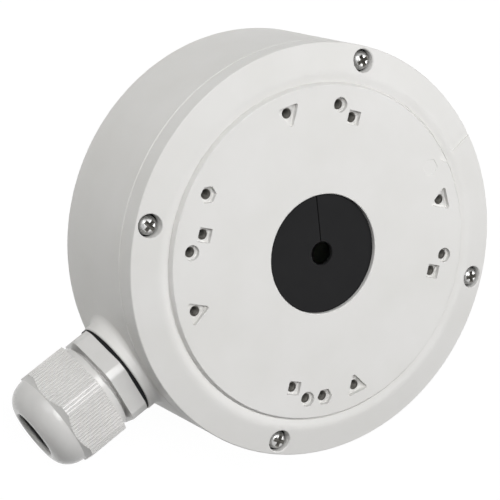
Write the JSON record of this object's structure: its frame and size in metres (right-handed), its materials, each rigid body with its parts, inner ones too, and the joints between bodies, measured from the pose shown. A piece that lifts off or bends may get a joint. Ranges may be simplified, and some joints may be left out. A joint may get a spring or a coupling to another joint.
{
  "type": "camera junction box",
  "caption": "Round die-cast junction box for a security camera, with a screwed lid carrying coded screw pockets, a rubber cable grommet and a cable gland at the side.",
  "frame": {"origin": "centre of the round back face, on the wall", "axes": "+Z out of the wall through the lid's face, -Y along the cable gland away from the box, +X to the right seen from the front with the gland pointing down"},
  "size_m": [0.144, 0.182, 0.0504],
  "materials": {
    "cast_white": "satin powder coat on die-cast aluminium",
    "nylon": "light grey moulded nylon",
    "rubber": "matt black rubber",
    "screw_steel": "bright stainless steel"
  },
  "bodies": {
    "base": {"housing": "cast_white", "rear_plug": "rubber", "earth_screw": "screw_steel", "earth_washer": "screw_steel", "lid_seal": "rubber", "gland_gasket": "rubber", "gland_body": "nylon", "gland_sleeve": "rubber"},
    "lid": {"lid": "cast_white", "cable_grommet": "rubber", "lid_screw_1": "screw_steel", "lid_screw_2": "screw_steel", "lid_screw_3": "screw_steel", "lid_screw_4": "screw_steel", "screw_ring_1": "rubber", "screw_ring_2": "rubber", "screw_ring_3": "rubber", "screw_ring_4": "rubber"},
    "cap_nut": {"gland_nut": "nylon"}
  },
  "joints": [
    {"name": "lid_lift", "type": "slide", "parent": "base", "child": "lid", "axis": [0, 0, 1], "range_m": [0, 0.06]},
    {"name": "cap_nut_turn", "type": "hinge", "parent": "base", "child": "cap_nut", "pos_m": [0, -0.095, 0.0208], "axis": [0, -1, 0], "range_deg": [0, 720]}
  ]
}
